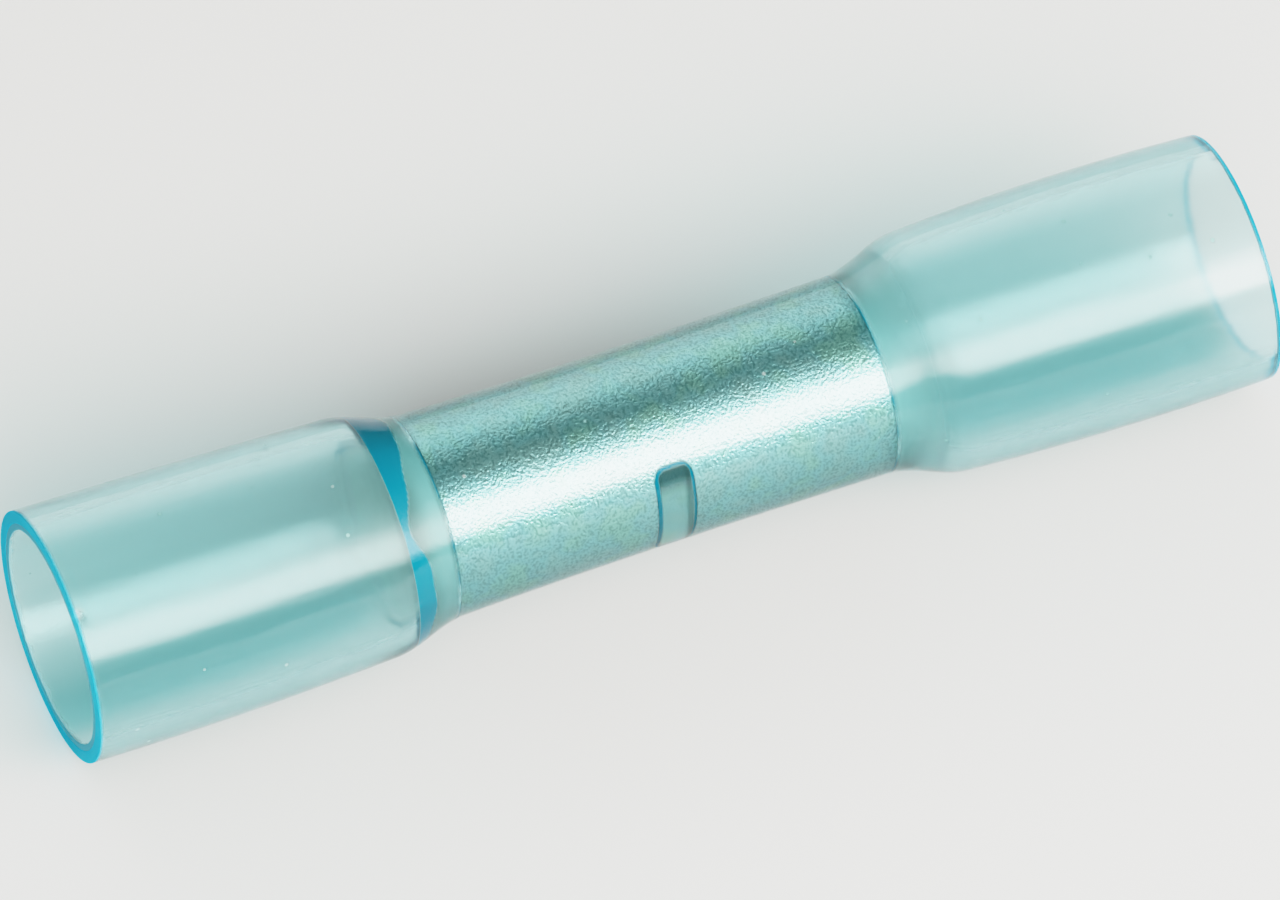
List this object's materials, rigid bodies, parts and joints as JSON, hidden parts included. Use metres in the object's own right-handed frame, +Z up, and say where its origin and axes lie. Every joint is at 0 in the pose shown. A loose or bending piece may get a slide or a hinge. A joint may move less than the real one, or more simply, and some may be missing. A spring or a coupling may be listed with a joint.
{
  "type": "butt splice connector",
  "caption": "Heat-shrink butt splice: clear blue tubing with an adhesive liner, necked onto a tinned crimp barrel with a pressed wire stop.",
  "frame": {"origin": "on the tabletop, under the middle of the connector as it lies on its side", "axes": "+X along the connector from its left mouth to its right one, +Z up; the wire stop is pressed in from -Y"},
  "size_m": [0.036, 0.0074, 0.0074],
  "materials": {
    "sleeve": "clear blue polyolefin tubing, glossy",
    "liner": "hazy hot-melt adhesive",
    "barrel": "matte tin plate over copper"
  },
  "bodies": {
    "root": {"heat_shrink_sleeve": "sleeve", "adhesive_liner": "liner", "crimp_barrel": "barrel"}
  },
  "joints": []
}
